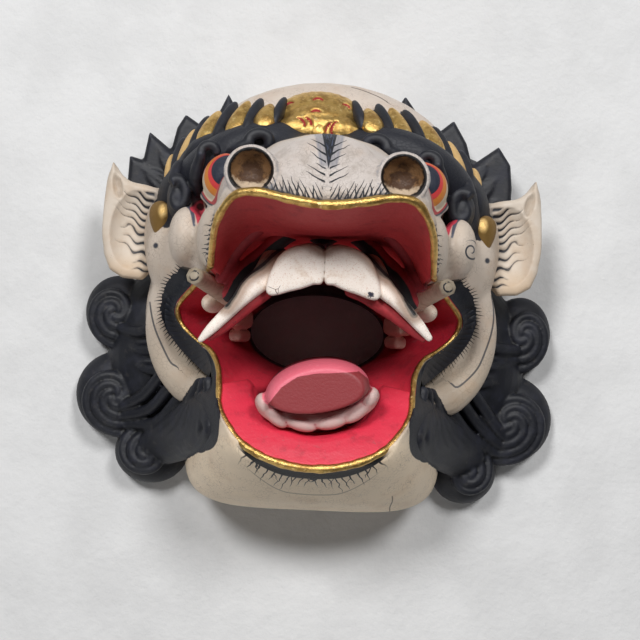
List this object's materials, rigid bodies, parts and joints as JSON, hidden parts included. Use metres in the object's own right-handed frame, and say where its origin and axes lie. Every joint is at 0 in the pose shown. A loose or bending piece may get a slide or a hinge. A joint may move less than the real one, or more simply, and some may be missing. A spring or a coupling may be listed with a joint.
{
  "type": "carved guardian-beast mask",
  "caption": "Carved wooden barong mask with wide-open jaws, set-in tusks, tongue and bat-like ears, curled dark hair and a gilt diadem; hollow back, lies on its flat rim.",
  "frame": {"origin": "centre of the bounding box of the whole mask, on the flat back rim that it lies on", "axes": "+Z out of the face towards the viewer, +Y towards the crown, +X to the viewer's right"},
  "size_m": [0.3939, 0.3355, 0.2647],
  "materials": {
    "gessoed_head": "carved wood under cream, blue-black and red paint with gold leaf",
    "gessoed_ear": "matt cream paint with dark wavy grooves",
    "tusk": "satin cream paint",
    "tongue": "satin pink-red paint, pinkish white teeth"
  },
  "bodies": {
    "root": {"mask_body": "gessoed_head", "ear_right": "gessoed_ear", "ear_left": "gessoed_ear", "lower_tusk_right": "tusk", "lower_tusk_left": "tusk", "tongue_and_lower_teeth": "tongue"}
  },
  "joints": []
}
